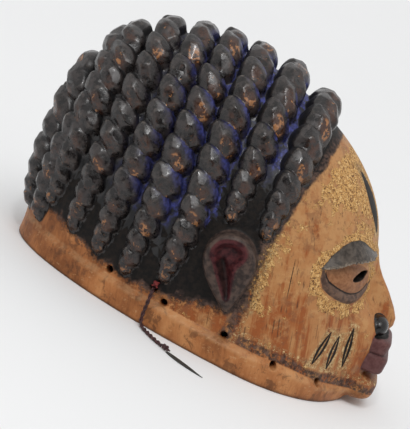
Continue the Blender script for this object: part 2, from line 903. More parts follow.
@dataclass
class Pin(Form):
    """A round hole, straight along a direction."""

    centre: Array
    direction: Array
    radius: float
    half_length: float = 26.0
    room: float = 4.0

    def box(self) -> Box:
        """Return the box that holds the form."""
        return Box.around(self.centre, self.half_length + self.room)

    def distance(self, x: Array, y: Array, z: Array) -> Array:
        """Return distances from the form's surface."""
        dx, dy, dz = x - self.centre[0], y - self.centre[1], z - self.centre[2]
        along = dx * self.direction[0] + dy * self.direction[1] + dz * self.direction[2]
        out = np.sqrt(np.maximum(dx * dx + dy * dy + dz * dz - along * along, 0.0))
        return np.maximum(out - self.radius, np.abs(along) - self.half_length)


class Work(Enum):
    """What is done with a form: its sign for the field of distances."""

    JOIN = 1.0
    CUT = -1.0


class FieldGrid:
    """A grid of distances over the near half of the mask, which is mirrored at the end."""

    def __init__(self, box: Box, step: float) -> None:
        """Lay out the grid.

        Args:
            box: The space to cover. Its highest y is ignored: the grid ends at the middle plane.
            step: The distance between its points.
        """
        self.step = step
        across = int(math.ceil(-box.low[1] / step))
        self.x = np.arange(box.low[0], box.high[0], step, dtype=np.float32)
        self.y = -(np.arange(across, 0, -1, dtype=np.float32) - 0.5) * step
        self.z = np.arange(box.low[2], box.high[2], step, dtype=np.float32)
        self.values = np.full((len(self.x), len(self.y), len(self.z)), 1e3, dtype=np.float32)

    def work(self, form: Form, fillet: float, step: Work = Work.JOIN) -> None:
        """Join a form to the solid, or cut it from it.

        Args:
            form: The form.
            fillet: How wide the fillet is where the form and the solid meet.
            step: Whether the form is joined or cut.
        """
        box, axes = form.box(), (self.x, self.y, self.z)
        part = tuple(
            slice(*np.searchsorted(axis, ends)) for axis, ends in zip(axes, zip(box.low, box.high))
        )
        if self.values[part].size:
            places = np.ix_(*(axis[cells] for axis, cells in zip(axes, part)))
            gaps, sign = form.distance(*places).astype(np.float32), step.value
            self.values[part] = sign * soft_low(sign * self.values[part], gaps, fillet)


def surface_of(values: Array, origin: Array, step: float) -> Skin:
    """Draw a closed skin where a field of distances is zero.

    Args:
        values: The field on a grid, negative inside.
        origin: The place of the grid's first point.
        step: The distance between its points.

    Returns:
        The skin's corners, and its four-sided faces as corner numbers.
    """
    inside = values < 0.0
    size = np.array(values.shape) - 1
    count = np.zeros(size, dtype=np.int8)
    for i, j, k in product((0, 1), repeat=3):
        count += inside[i : i + size[0], j : j + size[1], k : k + size[2]]
    active = (count > 0) & (count < 8)
    number = np.full(size, -1, dtype=np.int32)
    cells = np.argwhere(active)
    number[active] = np.arange(len(cells), dtype=np.int32)
    total, hits = np.zeros((len(cells), 3)), np.zeros(len(cells))
    ways = np.eye(3, dtype=int)
    for axis, i, j in product(range(3), (0, 1), (0, 1)):
        ahead = ways[axis]
        first, second = np.delete(ways, axis, axis=0)
        shift = i * first + j * second
        a, b = values[tuple((cells + shift).T)], values[tuple((cells + shift + ahead).T)]
        cross = (a < 0.0) != (b < 0.0)
        t = np.where(cross, a / np.where(cross, a - b, 1.0), 0.0)
        total += np.where(cross[:, None], shift + t[:, None] * ahead, 0.0)
        hits += cross
    corners = origin + (cells + total / hits[:, None]) * step
    faces = []
    for axis in range(3):
        first, second = np.delete(ways, axis, axis=0)
        low, high = [slice(1, -1)] * 3, [slice(1, -1)] * 3
        low[axis], high[axis] = slice(0, -1), slice(1, None)
        change = inside[tuple(low)] != inside[tuple(high)]
        edges = np.argwhere(change)
        starts = inside[tuple(low)][change]
        edges += first + second
        ring = [
            number[tuple((edges - i * first - j * second).T)]
            for i, j in ((0, 0), (1, 0), (1, 1), (0, 1))
        ]
        quads = np.stack(ring, axis=1)
        flip = starts if axis == 1 else ~starts
        quads[flip] = quads[flip][:, ::-1]
        faces.append(quads)
    return corners, np.concatenate(faces)


@dataclass
class MaskCarving:
    """The carved head: every form of the mask, joined and cut, and the skin over them."""

    head: HeadForm
    wall: float = 11.0
    step: float = 1.25
    most_triangles: int = 190000
    tie_holes: tuple[Pair, ...] = (
        (92.0, 27.0), (147.0, 26.0), (206.0, 26.0), (255.0, 21.0), (298.0, 17.0),
    )
    thong_hole: Pair = (134.0, 33.0)
    hole_radius: float = 3.4
    space: tuple[Point, Point] = ((-30.0, -123.0, -4.0), (360.0, 0.0, 259.0))
    band_fillet: float = 1.0
    lump_fillet: float = 0.6
    hair_fillet: float = 1.6
    hole_fillet: float = 0.8
    # The forms of the face in the order of the work, each with its fillet.
    face: tuple[tuple[str, float, Work], ...] = (
        ("muzzle", 14.0, Work.JOIN), ("chin", 3.0, Work.JOIN), ("nose", 7.0, Work.JOIN),
        ("nostril", 1.5, Work.JOIN), ("upper_lip", 0.8, Work.JOIN), ("lower_lip", 0.8, Work.JOIN),
        ("nose_slit", 0.5, Work.CUT), ("socket", 2.0, Work.CUT), ("ball", 1.0, Work.JOIN),
        ("brow", 0.8, Work.JOIN), ("lower_lid", 1.0, Work.JOIN),
    )

    def __post_init__(self) -> None:
        """Set out the forms of the face, the ears and the hair."""
        self.band, eye, ear = Band(self.head), Eye(self.head), Ear(self.head)
        self.forms: dict[str, Form | HeadForm] = {
            "dome": self.head,
            "muzzle": Round((284.0, 0.0, 42.0), (50.5, 48.0, 46.0), squareness=3.4),
            "chin": Round((318.0, 0.0, 18.5), (34.5, 35.0, 13.5), squareness=3.4),
            "upper_lip": Round((316.0, 0.0, 60.0), (30.5, 33.5, 8.4), squareness=5.0),
            "lower_lip": Round((316.0, 0.0, 44.2), (34.2, 33.5, 9.8), squareness=6.0),
            "nose": Nose(),
            "nostril": Round((327.6, -17.5, 75.0), (9.2, 12.5, 9.6)),
            "nose_slit": Round((327.0, -6.0, 67.4), (14.0, 24.0, 1.6)),
            "socket": eye.socket(),
            "ball": eye.ball(),
            "eye_slot": eye.slot(),
            "lower_lid": eye.lower_lid(),
            "brow": Visor(self.head),
            "ear": ear,
            "ear_hollow": EarHollow(ear),
        }
        self.lumps = Locks(self.head).lumps()

    def hole(self, place: Pair) -> Pin:
        """Return a round hole through the wall at x and z."""
        point = self.head.side_point(*place)
        direction = self.head.normals(point[None])[0]
        direction[2] = 0.0
        return Pin(point, unit(direction), self.hole_radius)

    def carve(self) -> Skin:
        """Join and cut every form.

        Returns:
            The skin's corners in millimetres, and its faces.
        """
        space = Box(*np.array(self.space))
        grid, hair = FieldGrid(space, self.step), FieldGrid(space, self.step)
        x, y, z = np.ix_(grid.x, grid.y, grid.z)
        dome = self.head.distance(x, y, z).astype(np.float32)
        band = self.band.distance(x, y, z).astype(np.float32)
        grid.values = soft_low(dome, band, self.band_fillet)
        for name, fillet, step in self.face:
            grid.work(self.forms[name], fillet, step)
        for lump in self.lumps:
            hair.work(lump, self.lump_fillet)
        grid.values = soft_low(grid.values, hair.values, self.hair_fillet)
        grid.work(self.forms["ear"], 3.0)
        grid.work(self.forms["ear_hollow"], 1.5, Work.CUT)
        grid.values = np.maximum(grid.values, -(dome + self.wall))
        grid.work(self.forms["eye_slot"], 0.6, Work.CUT)
        for place in (*self.tie_holes, self.thong_hole):
            grid.work(self.hole(place), self.hole_fillet, Work.CUT)
        grid.values = np.maximum(grid.values, -z)
        values = np.concatenate([grid.values, grid.values[:, ::-1]], axis=1)
        return surface_of(values, np.array([grid.x[0], grid.y[0], grid.z[0]]), self.step)

    def mesh(self) -> bpy.types.Mesh:
        """Make the mask's mesh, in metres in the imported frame.

        Returns:
            The mesh, with no more triangles than it may have.
        """
        corners, faces = self.carve()
        LOG.info("carved skin: %d corners, %d faces", len(corners), len(faces))
        mesh = mesh_of("mask_skin", to_frame(corners), faces)
        scratch = added("mask_scratch", mesh)
        thin = scratch.modifiers.new("thin", "DECIMATE")
        thin.ratio = min(1.0, self.most_triangles / (2.0 * len(faces)))
        worked = scratch.evaluated_get(bpy.context.evaluated_depsgraph_get())
        thinned = bpy.data.meshes.new_from_object(worked)
        bpy.data.objects.remove(scratch)
        thinned.polygons.foreach_set("use_smooth", np.ones(len(thinned.polygons), dtype=bool))
        LOG.info("thinned skin: %d corners, %d faces", len(thinned.vertices), len(thinned.polygons))
        return thinned


def mesh_of(name: str, corners: Array, faces: Array) -> bpy.types.Mesh:
    """Make a mesh from arrays.

    Args:
        name: The mesh's name.
        corners: Its corners, in metres.
        faces: Its faces as corner numbers, all with the same number of corners.

    Returns:
        The mesh, shaded smooth.
    """
    mesh = bpy.data.meshes.new(name)
    sides = faces.shape[1]
    mesh.vertices.add(len(corners))
    mesh.vertices.foreach_set("co", np.asarray(corners, dtype=np.float32).ravel())
    mesh.loops.add(faces.size)
    mesh.loops.foreach_set("vertex_index", faces.astype(np.int32).ravel())
    mesh.polygons.add(len(faces))
    mesh.polygons.foreach_set("loop_start", np.arange(0, faces.size, sides, dtype=np.int32))
    mesh.update(calc_edges=True)
    mesh.validate()
    mesh.polygons.foreach_set("use_smooth", np.ones(len(mesh.polygons), dtype=bool))
    return mesh


class Slot(Enum):
    """The mask's materials, by their order on its mesh."""

    WOOD = 0
    LOCKS = 1
    NOSTRIL = 2


@dataclass
class PaintMap:
    """Where each paint and each kind of wear lies, as numbers on the corners of the mask's mesh."""

    carving: MaskCarving
    # Where the paint of the hair ends on the side of the head: heights, and x at each.
    hairline: tuple[Pair, ...] = (
        (26.0, 205.0), (42.0, 206.0), (62.0, 208.0), (84.0, 202.5), (102.0, 201.0), (122.0, 202.0),
        (146.0, 207.5), (169.0, 212.0), (189.0, 217.0), (211.0, 220.0), (237.0, 226.0),
    )
    # How low the black paint reaches behind the ear: x, and the height at each.
    soot_edge: tuple[Pair, ...] = (
        (-20.0, 44.0), (30.0, 40.0), (60.0, 34.0), (90.0, 30.0), (125.0, 28.0), (150.0, 33.0),
        (175.0, 40.0), (205.0, 47.0), (215.0, 34.0),
    )
    # The forms whose distances are stored under their own names.
    stored: tuple[str, ...] = (
        "dome", "brow", "lower_lid", "ball", "nostril", "nose_slit", "eye_slot", "ear", "ear_hollow",
    )
    smoothing: int = 2
    far_off: float = 99.0
    lump_reach: float = 12.0
    around_eye: Round = field(default_factory=lambda: Round((283.0, -60.0, 108.0), (32.0, 50.0, 23.0)))
    # Where the grooves have the locks' paint: how near a lock and the next one are, and how far the tip.
    valley: Point = (9.0, 12.0, 34.0)
    lock_reach: float = 1.2
    nostril_reach: float = 0.8
    lip_room: float = 0.5
    most: float = 60.0

    def locks(self, x: Array, y: Array, z: Array) -> dict[str, Array]:
        """Return what concerns the locks.

        Args:
            x: The corners' places along the mask.
            y: Their places across it, on the near side.
            z: Their heights.

        Returns:
            Named numbers, one for each corner.
        """
        places, count = np.stack([x, y, z], axis=-1), len(x)
        nearest, second = np.full(count, self.far_off), np.full(count, self.far_off)
        lock = np.full(count, -1)
        named = {name: np.zeros(count) for name in ("lump_u", "lump_v", "lump_w", "lump_seed", "lump_tip")}
        for lump in self.carving.lumps:
            reach = max(lump.radii) + self.lump_reach
            spots = np.nonzero((np.abs(places - lump.centre) < reach).all(axis=1))[0]
            if not len(spots):
                continue
            here = places[spots].T
            gap = lump.distance(*here)
            wins = gap < nearest[spots]
            other = lock[spots] != lump.lock
            next_gap = np.where(wins, nearest[spots], np.minimum(second[spots], gap))
            second[spots] = np.where(other, next_gap, second[spots])
            won = spots[wins]
            nearest[won] = gap[wins]
            lock[won] = lump.lock
            for name, place, radius in zip(("lump_u", "lump_v", "lump_w"), lump.local(*here), lump.radii):
                named[name][won] = (place / radius)[wins]
            named["lump_seed"][won] = (lump.lock * 0.37 + lump.order * 0.61) % 1.0
            named["lump_tip"][won] = lump.distance_along
        named["hair"] = nearest
        named["next_lock"] = second
        return named

    def bends(self, mesh: bpy.types.Mesh) -> Array:
        """Return how sharply the surface bends out (over 0) or in (under 0) at each corner.

        Args:
            mesh: The mask's mesh.

        Returns:
            A number for each corner.
        """
        count = len(mesh.vertices)
        places, normals = numbers_of(mesh.vertices, "co", 3), numbers_of(mesh.vertices, "normal", 3)
        a, b = numbers_of(mesh.edges, "vertices", 2).T
        run = places[b] - places[a]
        far = np.maximum(np.linalg.norm(run, axis=1), 1e-7)
        number = np.maximum(np.bincount(a, minlength=count) + np.bincount(b, minlength=count), 1)
        drop_a = -(run * normals[a]).sum(axis=1) / far
        drop_b = (run * normals[b]).sum(axis=1) / far
        bend = (np.bincount(a, drop_a, count) + np.bincount(b, drop_b, count)) / number
        for _ in range(self.smoothing):
            near = np.bincount(a, bend[b], count) + np.bincount(b, bend[a], count)
            bend = 0.4 * bend + 0.6 * near / number
        return bend

    def apply(self, mesh: bpy.types.Mesh) -> None:
        """Store every number on the mesh.

        Args:
            mesh: The mask's mesh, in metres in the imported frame.
        """
        x, y, z = (numbers_of(mesh.vertices, "co", 3) / MILLIMETRE + (RIM_BACK_TO_MIDDLE, 0.0, 0.0)).T
        y = -np.abs(y)
        forms = self.carving.forms
        made = self.locks(x, y, z)
        made |= {name: forms[name].distance(x, y, z) for name in self.stored}
        made["lips"] = np.minimum(*(forms[lip].distance(x, y, z) for lip in ("upper_lip", "lower_lip")))
        made["eye_away"] = self.around_eye.distance(x, y, z)
        made["ledge"] = z - self.carving.band.ledge_height(x, y)
        made["ear_cut"] = forms["ear_hollow"].cut_distance(x, z)
        made["hairline"] = x - np.interp(z, *np.array(self.hairline).T)
        made["soot"] = z - np.interp(x, *np.array(self.soot_edge).T)
        made["bend"] = self.bends(mesh)
        for name, numbers in made.items():
            layer = mesh.attributes.new(name, "FLOAT", "POINT")
            layer.data.foreach_set("value", np.clip(numbers, -self.most, self.most).astype(np.float32))
        first = numbers_of(mesh.loops, "vertex_index")[numbers_of(mesh.polygons, "loop_start")]
        mesh.polygons.foreach_set("material_index", self.slots(made)[first])

    def slots(self, made: dict[str, Array]) -> Array:
        """Return which of the mask's materials each corner has.

        Args:
            made: The numbers that are stored, by name.

        Returns:
            A slot for each corner.
        """
        hair, next_lock, tip = self.valley
        in_valley = (made["hair"] < hair) & (made["next_lock"] < next_lock) & (made["lump_tip"] > tip)
        slots = np.full(len(made["hair"]), Slot.WOOD.value, dtype=np.int32)
        slots[(made["nostril"] < self.nostril_reach) & (made["lips"] > self.lip_room)] = Slot.NOSTRIL.value
        slots[(made["hair"] < self.lock_reach) | in_valley] = Slot.LOCKS.value
        return slots


def operator(operation: str, swapped: bool = False) -> Callable[["Value", "Value | float"], "Value"]:
    """Return a method that works on a value and another one with a Math node.

    Args:
        operation: What the node does.
        swapped: Whether the other value comes first.

    Returns:
        The method.
    """

    def method(self: "Value", other: "Value | float") -> "Value":
        """Return the node's result."""
        return self.tree.maths(operation, *((other, self) if swapped else (self, other)))

    return method


class Value:
    """A number or colour in a material's tree, on which arithmetic adds nodes.

    The bar and the ampersand give the higher and the lower of two masks.
    """

    def __init__(self, tree: "Tree", socket: bpy.types.NodeSocket) -> None:
        """Wrap an output socket of a tree."""
        self.tree = tree
        self.socket = socket

    __add__, __radd__ = operator("ADD"), operator("ADD", swapped=True)
    __sub__, __rsub__ = operator("SUBTRACT"), operator("SUBTRACT", swapped=True)
    __mul__, __rmul__ = operator("MULTIPLY"), operator("MULTIPLY", swapped=True)
    __truediv__, __rtruediv__ = operator("DIVIDE"), operator("DIVIDE", swapped=True)
    __or__, __ror__ = operator("MAXIMUM"), operator("MAXIMUM", swapped=True)
    __and__, __rand__ = operator("MINIMUM"), operator("MINIMUM", swapped=True)

    def __abs__(self) -> "Value":
        """Return self without its sign."""
        return self.tree.maths("ABSOLUTE", self, 0.0)

    def rise(self, low: float, high: float) -> "Value":
        """Return a smooth mask that goes from 0 at low to 1 at high, or back if low is the higher.

        Args:
            low: The value at which the mask is 0.
            high: The value at which it is 1.

        Returns:
            The mask.
        """
        settings = {"interpolation_type": "SMOOTHSTEP", "clamp": True}
        flip = float(low > high)
        inputs = {
            "Value": self, "From Min": min(low, high), "From Max": max(low, high), "To Min": flip,
            "To Max": 1.0 - flip,
        }
        return self.tree.node("ShaderNodeMapRange", settings, inputs, "Result")


Link = Value | float | tuple
Stops = list[tuple[float, Point]]


class Tree:
    """A material's node tree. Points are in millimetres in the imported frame."""

    cut_size = 5.0

    def __init__(self, name: str) -> None:
        """Start a material with a plain shader.

        Args:
            name: The material's name.
        """
        self.material = bpy.data.materials.new(name)
        self.material.use_nodes = True
        self.nodes = self.material.node_tree.nodes
        self.links = self.material.node_tree.links
        self.shader = self.nodes["Principled BSDF"]
        metres = self.node("ShaderNodeTexCoord", {}, {}, "Object")
        self.place = self.vectors("SCALE", {0: metres, "Scale": 1.0 / MILLIMETRE})
        self.place_x, self.place_y, self.place_z = (
            self.node("ShaderNodeSeparateXYZ", {}, {"Vector": self.place}, axis) for axis in "XYZ"
        )
        turned = {"Vector": self.place, "Angle": math.radians(GRAIN_TILT)}
        self.log = self.node("ShaderNodeVectorRotate", {"rotation_type": "Y_AXIS"}, turned, "Vector")

    def node(self, kind: str, settings: dict, inputs: dict, output: str | int = 0) -> Value:
        """Add a node.

        Args:
            kind: The node's type.
            settings: Its properties, set first. A ramp's stops are its "stops".
            inputs: The values or links of its sockets, by name or number.
            output: The output that is wanted, by name or number.

        Returns:
            That output.
        """
        made = self.nodes.new(kind)
        for name, value in settings.items():
            if name == "stops":
                self.set_stops(made, value)
            else:
                setattr(made, name, value)
        for name, value in inputs.items():
            self.feed(made.inputs[name], value)
        return Value(self, made.outputs[output])

    @staticmethod
    def set_stops(ramp: bpy.types.Node, stops: Stops) -> None:
        """Give a ramp its stops, each a place and a colour."""
        elements = ramp.color_ramp.elements
        while len(elements) < len(stops):
            elements.new(1.0)
        for element, (place, colour) in zip(elements, stops):
            element.position = place
            element.color = (*colour, 1.0)

    def feed(self, socket: bpy.types.NodeSocket, value: Link) -> None:
        """Set a socket to a value, or link a value to it.

        Args:
            socket: An input socket.
            value: What it gets.
        """
        if isinstance(value, Value):
            self.links.new(value.socket, socket)
        elif isinstance(value, tuple) and len(socket.default_value) == 4:
            socket.default_value = (*value, 1.0)
        else:
            socket.default_value = value

    def maths(self, operation: str, a: Link, b: Link) -> Value:
        """Return the result of a Math node."""
        return self.node("ShaderNodeMath", {"operation": operation}, {0: a, 1: b})

    def vectors(self, operation: str, inputs: dict) -> Value:
        """Return the result of a Vector Math node."""
        return self.node("ShaderNodeVectorMath", {"operation": operation}, inputs, "Vector")

    def read(self, name: str) -> Value:
        """Return one of the numbers stored on the mesh."""
        return self.node("ShaderNodeAttribute", {"attribute_name": name}, {}, "Fac")

    def noise(
        self, size: float, detail: float = 3.0, roughness: float = 0.55, stretch: Point = (1.0, 1.0, 1.0),
        warp: float = 0.0,
    ) -> Value:
        """Return a cloudy pattern from 0 to 1, upright with the log.

        Args:
            size: The size of its clouds, in millimetres.
            detail: How many finer layers it has.
            roughness: How strong they are.
            stretch: A multiplier for each axis: under 1 draws the clouds out along it.
            warp: How strongly the pattern is twisted.

        Returns:
            The pattern.
        """
        inputs = {
            "Vector": self.vectors("MULTIPLY", {0: self.log, 1: stretch}), "Scale": 1.0 / size,
            "Detail": detail, "Roughness": roughness, "Distortion": warp,
        }
        return self.node("ShaderNodeTexNoise", {}, inputs, "Fac")

    def faceted(self, size: float, strength: Link) -> Value:
        """Return the surface's normal, tilted a little on each of many small knife cuts.

        Args:
            size: The size of the cuts, in millimetres.
            strength: How far they tilt it.

        Returns:
            The normal.
        """
        cuts = self.node("ShaderNodeTexVoronoi", {}, {"Vector": self.place, "Scale": 1.0 / size}, "Color")
        turned = self.vectors("SUBTRACT", {0: cuts, 1: (0.5, 0.5, 0.5)})
        tilt = self.vectors("SCALE", {0: turned, "Scale": strength})
        normal = self.node("ShaderNodeNewGeometry", {}, {}, "Normal")
        return self.vectors("NORMALIZE", {0: self.vectors("ADD", {0: normal, 1: tilt})})

    def blend(self, mask: Link, a: Link, b: Link) -> Value:
        """Return a colour that is a where the mask is 0 and b where it is 1."""
        settings = {"data_type": "RGBA", "clamp_factor": True}
        return self.node("ShaderNodeMix", settings, {0: mask, 6: a, 7: b}, 2)

    def over(self, colour: Link, *coats: tuple[Link, Link]) -> Value:
        """Return a colour with others laid over it in turn, each where its mask is 1."""
        for mask, coat in coats:
            colour = self.blend(mask, colour, coat)
        return colour

    def between(self, mask: Link, a: Link, b: Link) -> Value:
        """Return a number that is a where the mask is 0 and b where it is 1."""
        settings = {"data_type": "FLOAT", "clamp_factor": True}
        return self.node("ShaderNodeMix", settings, {0: mask, 2: a, 3: b}, 0)

    def ramp(self, value: Value, stops: Stops) -> Value:
        """Return a colour that runs through stops as a value goes from 0 to 1."""
        return self.node("ShaderNodeValToRGB", {"stops": stops}, {"Fac": value}, "Color")

    def finish(self, layer: "Layer", relief: float = 1.0, **constants: float) -> bpy.types.Material:
        """Join a layer to the shader.

        Args:
            layer: The surface's colour, roughness and height.
            relief: The strength of the bump.
            **constants: Values for the shader's own sockets, with _ for a space.

        Returns:
            The material.
        """
        self.feed(self.shader.inputs["Base Color"], layer.colour)
        self.feed(self.shader.inputs["Roughness"], layer.roughness)
        inputs = {"Strength": relief, "Distance": MILLIMETRE, "Height": layer.height}
        if isinstance(layer.cuts, Value):
            inputs["Normal"] = self.faceted(self.cut_size, layer.cuts)
        self.feed(self.shader.inputs["Normal"], self.node("ShaderNodeBump", {}, inputs, "Normal"))
        for name, value in constants.items():
            self.shader.inputs[name.replace("_", " ")].default_value = value
        return self.material


@dataclass
class Layer:
    """The look of a surface: colour, roughness, height in millimetres, and how strong its cuts are."""

    colour: Value
    roughness: Link
    height: Link
    cuts: Link = 0.0

    def under(self, tree: Tree, mask: Value, top: "Layer") -> "Layer":
        """Return this layer with another laid over it where a mask is 1.

        Args:
            tree: The tree that the layers belong to.
            mask: Where the other layer lies.
            top: The other layer.

        Returns:
            Both layers as one.
        """
        return Layer(
            tree.blend(mask, self.colour, top.colour),
            tree.between(mask, self.roughness, top.roughness),
            tree.between(mask, self.height, top.height),
            tree.between(mask, self.cuts, top.cuts),
        )


@dataclass(frozen=True)
class BareWood:
    """Waxed orange-brown wood with fine grain."""

    dark: Point = (0.205, 0.072, 0.024)
    middle: Point = (0.375, 0.145, 0.050)
    light: Point = (0.49, 0.220, 0.083)
    pale: Point = (0.52, 0.32, 0.16)
    grime: Point = (0.085, 0.036, 0.018)

    def layer(self, tree: Tree) -> Layer:
        """Return the bare wood.

        Args:
            tree: The tree that the nodes go into.

        Returns:
            The wood's colour, roughness and height.
        """
        grain = tree.noise(1.8, 4.0, 0.6, (1.0, 1.0, 0.07))
        cloud = tree.noise(30.0, 5.0, 0.62, (1.0, 1.0, 0.6))
        backward = tree.place_x.rise(20.0, -180.0)
        tone = grain * 0.20 + cloud * 1.0 - 0.09 - backward * 0.12
        smudge = tree.noise(12.0, 5.0, 0.7, warp=0.5)
        scuff = tree.noise(3.4, 5.0, 0.75, (0.5, 0.5, 1.0)).rise(0.56, 0.62)
        ledge = tree.read("ledge")
        wavy = tree.noise(14.0, 4.0, 0.6) * 6.0 - 3.0
        bevel = (ledge + wavy * 0.7).rise(-8.0, -4.5) & (ledge + wavy * 0.3).rise(0.5, -1.5)
        bevel = bevel & tree.read("dome").rise(-2.0, 0.0)
        foot = (tree.place_z + wavy * 0.3).rise(3.6, 1.0)
        colour = tree.over(
            tree.ramp(tone, [(0.34, self.dark), (0.5, self.middle), (0.66, self.light)]),
            (smudge.rise(0.52, 0.62) * 0.6, self.grime),
            (scuff * smudge.rise(0.52, 0.44) * 0.45, self.pale),
            (bevel * tree.noise(9.0, 5.0, 0.7).rise(0.36, 0.58) * 0.28, self.pale),
            (foot * 0.6, self.grime),
        )
        pits = tree.noise(0.9, 3.0, 0.65, (1.0, 1.0, 0.2))
        height = grain * 0.10 + pits * 0.10 + cloud * 1.5
        return Layer(colour, tree.between(cloud, 0.38, 0.54), height, 0.05)


@dataclass(frozen=True)
class FacePaint:
    """Old ochre paint: tan where it is thin, yellow and crackled where it is thick."""

    tan: Point = (0.400, 0.182, 0.068)
    rust: Point = (0.285, 0.083, 0.023)
    straw: Point = (0.480, 0.265, 0.112)
    dim: Point = (0.180, 0.078, 0.038)
    yellow: Point = (0.560, 0.300, 0.095)
    cream: Point = (0.74, 0.52, 0.25)
    fleck: Point = (0.060, 0.027, 0.015)

    def layer(self, tree: Tree) -> Layer:
        """Return the face's paint, thin and thick.

        Args:
            tree: The tree that the nodes go into.

        Returns:
            The paint's colour, roughness and height.
        """
        streak = tree.noise(6.0, 5.0, 0.65, (1.0, 1.0, 0.10))
        cloud = tree.noise(30.0, 4.0, 0.55, (1.0, 1.0, 0.6))
        patch = tree.noise(12.0, 5.0, 0.68)
        low = tree.place_z.rise(125.0, 40.0)
        high = tree.place_z.rise(112.0, 150.0)
        rusty = (streak * 0.6 + cloud * 0.5 + low * 0.07 - high * 0.04).rise(0.54, 0.66)
        grime = (tree.noise(9.0, 6.0, 0.75, warp=0.6) * 0.7 + cloud * 0.3).rise(0.51, 0.60)
        lines = tree.noise(2.0, 4.0, 0.7, (1.0, 1.0, 0.035)).rise(0.56, 0.64)
        crackle = tree.noise(2.2, 5.0, 0.8, warp=1.2)
        thick = (self.thick_places(tree) * 0.26 + tree.noise(11.0, 5.0, 0.7)).rise(0.62, 0.69)
        colour = tree.over(
            self.tan,
            (rusty, self.rust),
            ((patch - low * 0.05 + high * 0.08).rise(0.44, 0.62) * 0.6, self.straw),
            (grime * 0.5, self.dim),
            (lines * tree.noise(17.0, 2.0).rise(0.45, 0.56) * 0.7, self.fleck),
            (thick * crackle.rise(0.44, 0.50), self.yellow),
            (thick * crackle.rise(0.475, 0.435) * 0.9, self.fleck),
            (thick * crackle.rise(0.54, 0.575) * 0.85, self.cream),
            (tree.read("bend").rise(-0.05, -0.22) * 0.7, self.fleck),
        )
        height = crackle * thick * 0.7 + streak * 0.3 + patch * 0.8 + tree.noise(1.1, 3.0) * 0.10
        return Layer(colour, tree.between(thick, 0.44, 0.66), height, 0.07)

    def thick_places(self, tree: Tree) -> Value:
        """Return where the paint is likely to be thick: round the eye, on the temple, by the ear.

        Args:
            tree: The tree that the nodes go into.

        Returns:
            The mask.
        """
        hairline, z = tree.read("hairline"), tree.place_z
        around_eye = tree.read("eye_away").rise(13.0, 3.0) | tree.read("brow").rise(11.0, 4.0)
        around_eye = around_eye & tree.read("ball").rise(3.5, 6.0)
        temple = hairline.rise(6.0, 18.0) & z.rise(140.0, 175.0)
        brow_line = z.rise(136.0, 150.0) & tree.place_x.rise(92.0, 112.0)
        by_ear = hairline.rise(28.0, 8.0) & z.rise(150.0, 120.0) & z.rise(48.0, 62.0)
        return around_eye | temple | ((brow_line | by_ear) * 0.8)


@dataclass(frozen=True)
class HairPaint:
    """Near-black satin paint on the locks, worn to red-brown and bare wood on their lumps."""

    black: Point = (0.0085, 0.0070, 0.0070)
    grey: Point = (0.033, 0.0265, 0.0255)
    deep: Point = (0.004, 0.0038, 0.0045)
    rim: Point = (0.15, 0.12, 0.10)
    red: Point = (0.075, 0.026, 0.012)
    wood: Point = (0.33, 0.145, 0.055)
    blue: Point = (0.062, 0.075, 0.33)
    blue_dark: Point = (0.015, 0.018, 0.10)

    def layer(self, tree: Tree) -> Layer:
        """Return the paint of the locks and of the grooves between them.

        Args:
            tree: The tree that the nodes go into.

        Returns:
            The paint's colour, roughness and height.
        """
        cloud = tree.noise(7.0, 5.0, 0.65)
        u, v, w, seed, bend, tip, hair, next_lock = (
            tree.read(name)
            for name in ("lump_u", "lump_v", "lump_w", "lump_seed", "bend", "lump_tip", "hair", "next_lock")
        )
        deep = w.rise(0.45, 0.0) | bend.rise(-0.05, -0.22)
        edge = bend.rise(0.04, 0.16) * tree.noise(4.0, 5.0, 0.75).rise(0.47, 0.56)
        top = w.rise(0.45, 0.85)
        offset = u + 0.10
        centre = (v * v + offset * offset * 0.7).rise(0.40, 0.02)
        forward = tree.place_x.rise(-150.0, 40.0)
        patch = tree.noise(9.0, 5.0, 0.72)
        worn = centre * top * (patch + seed * 0.14 + forward * 0.06).rise(0.52, 0.68)
        small = tree.noise(6.0, 4.0, 0.66, warp=0.4)
        bare = centre.rise(0.55, 0.9) * top * (small + seed * 0.17 + forward * 0.04).rise(0.715, 0.745)
        tips = tip.rise(20.0, 2.0) * top * (small + forward * 0.03).rise(0.56, 0.61)
        flank = v.rise(0.1, 0.8) * w.rise(0.9, 0.3) * next_lock.rise(24.0, 14.0) * 0.75
        valley = hair.rise(0.6, 1.8)
        groove = flank | (valley & next_lock.rise(12.0, 7.0))
        region = tree.place_x.rise(-122.0, -55.0) * tree.place_z.rise(58.0, 100.0) * tip.rise(38.0, 66.0)
        blue = groove * region * tree.noise(9.0, 4.0, 0.66).rise(0.36, 0.54)
        tone = tree.blend(tree.noise(4.0, 4.0, 0.7).rise(0.42, 0.58), self.blue_dark, self.blue)
        colour = tree.over(
            self.black,
            (cloud.rise(0.42, 0.60), self.grey),
            (deep * 0.85, self.deep),
            (edge * 0.55, self.rim),
            (worn * 0.6, self.red),
            ((bare | (tips * 0.9)) * 0.9, self.wood),
            (valley * 0.8, self.deep),
            (blue * 0.9, tone),
        )
        height = cloud * 0.3 + tree.noise(1.3, 4.0, 0.7) * 0.10
        rough = tree.between(cloud.rise(0.42, 0.58), 0.20, 0.38) | (deep * 0.6)
        return Layer(colour, tree.between(blue, rough, 0.75), height, top * 0.25 + 0.04)


